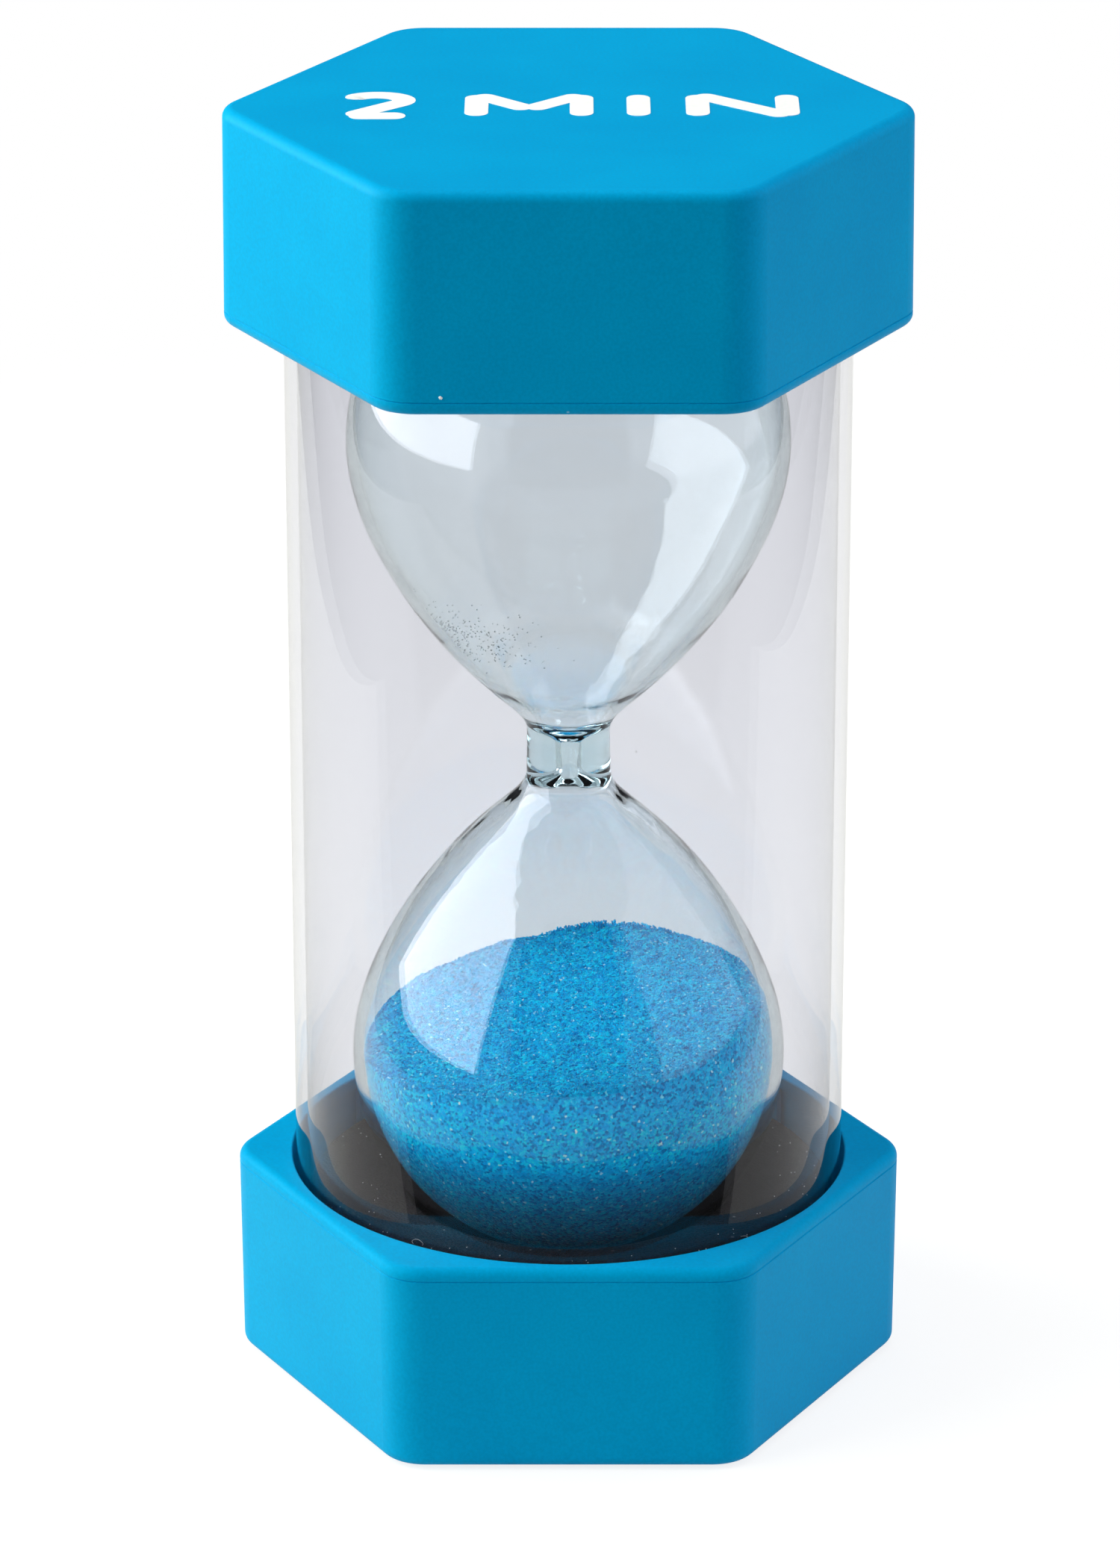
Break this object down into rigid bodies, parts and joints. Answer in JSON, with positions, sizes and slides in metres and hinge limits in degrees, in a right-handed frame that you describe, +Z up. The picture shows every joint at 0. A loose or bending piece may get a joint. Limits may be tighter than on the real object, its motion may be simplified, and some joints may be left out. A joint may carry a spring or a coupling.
{
  "type": "hourglass",
  "caption": "Sand timer: blown-glass hourglass vessel with blue sand, held on foam inside a clear barrel between hexagonal blue plastic end caps.",
  "frame": {"origin": "centre of the bottom cap's resting face, on the common axis of caps, barrel and vessel", "axes": "+Z up along that axis; two flats of each hexagonal cap face -Y (the front) and +Y, two corners point to -X and +X"},
  "size_m": [0.0826, 0.0732, 0.1619],
  "materials": {
    "cap_plastic": "satin moulded plastic",
    "clear_plastic": "clear polished plastic tube",
    "vessel_glass": "clear blown glass, slightly wavy",
    "foam": "matt closed-cell foam",
    "plug_rubber": "matt rubber",
    "sand_grains": "dyed quartz sand, sparkling"
  },
  "bodies": {
    "root": {"bottom_cap_shell": "cap_plastic", "bottom_rim_plate": "cap_plastic", "top_cap_shell": "cap_plastic", "top_rim_plate": "cap_plastic", "bottom_foam_pad": "foam", "bottom_foam_ring": "foam", "top_foam_pad": "foam", "top_foam_ring": "foam", "barrel": "clear_plastic", "glass_vessel": "vessel_glass", "filler_plug": "plug_rubber", "sand": "sand_grains"}
  },
  "joints": []
}
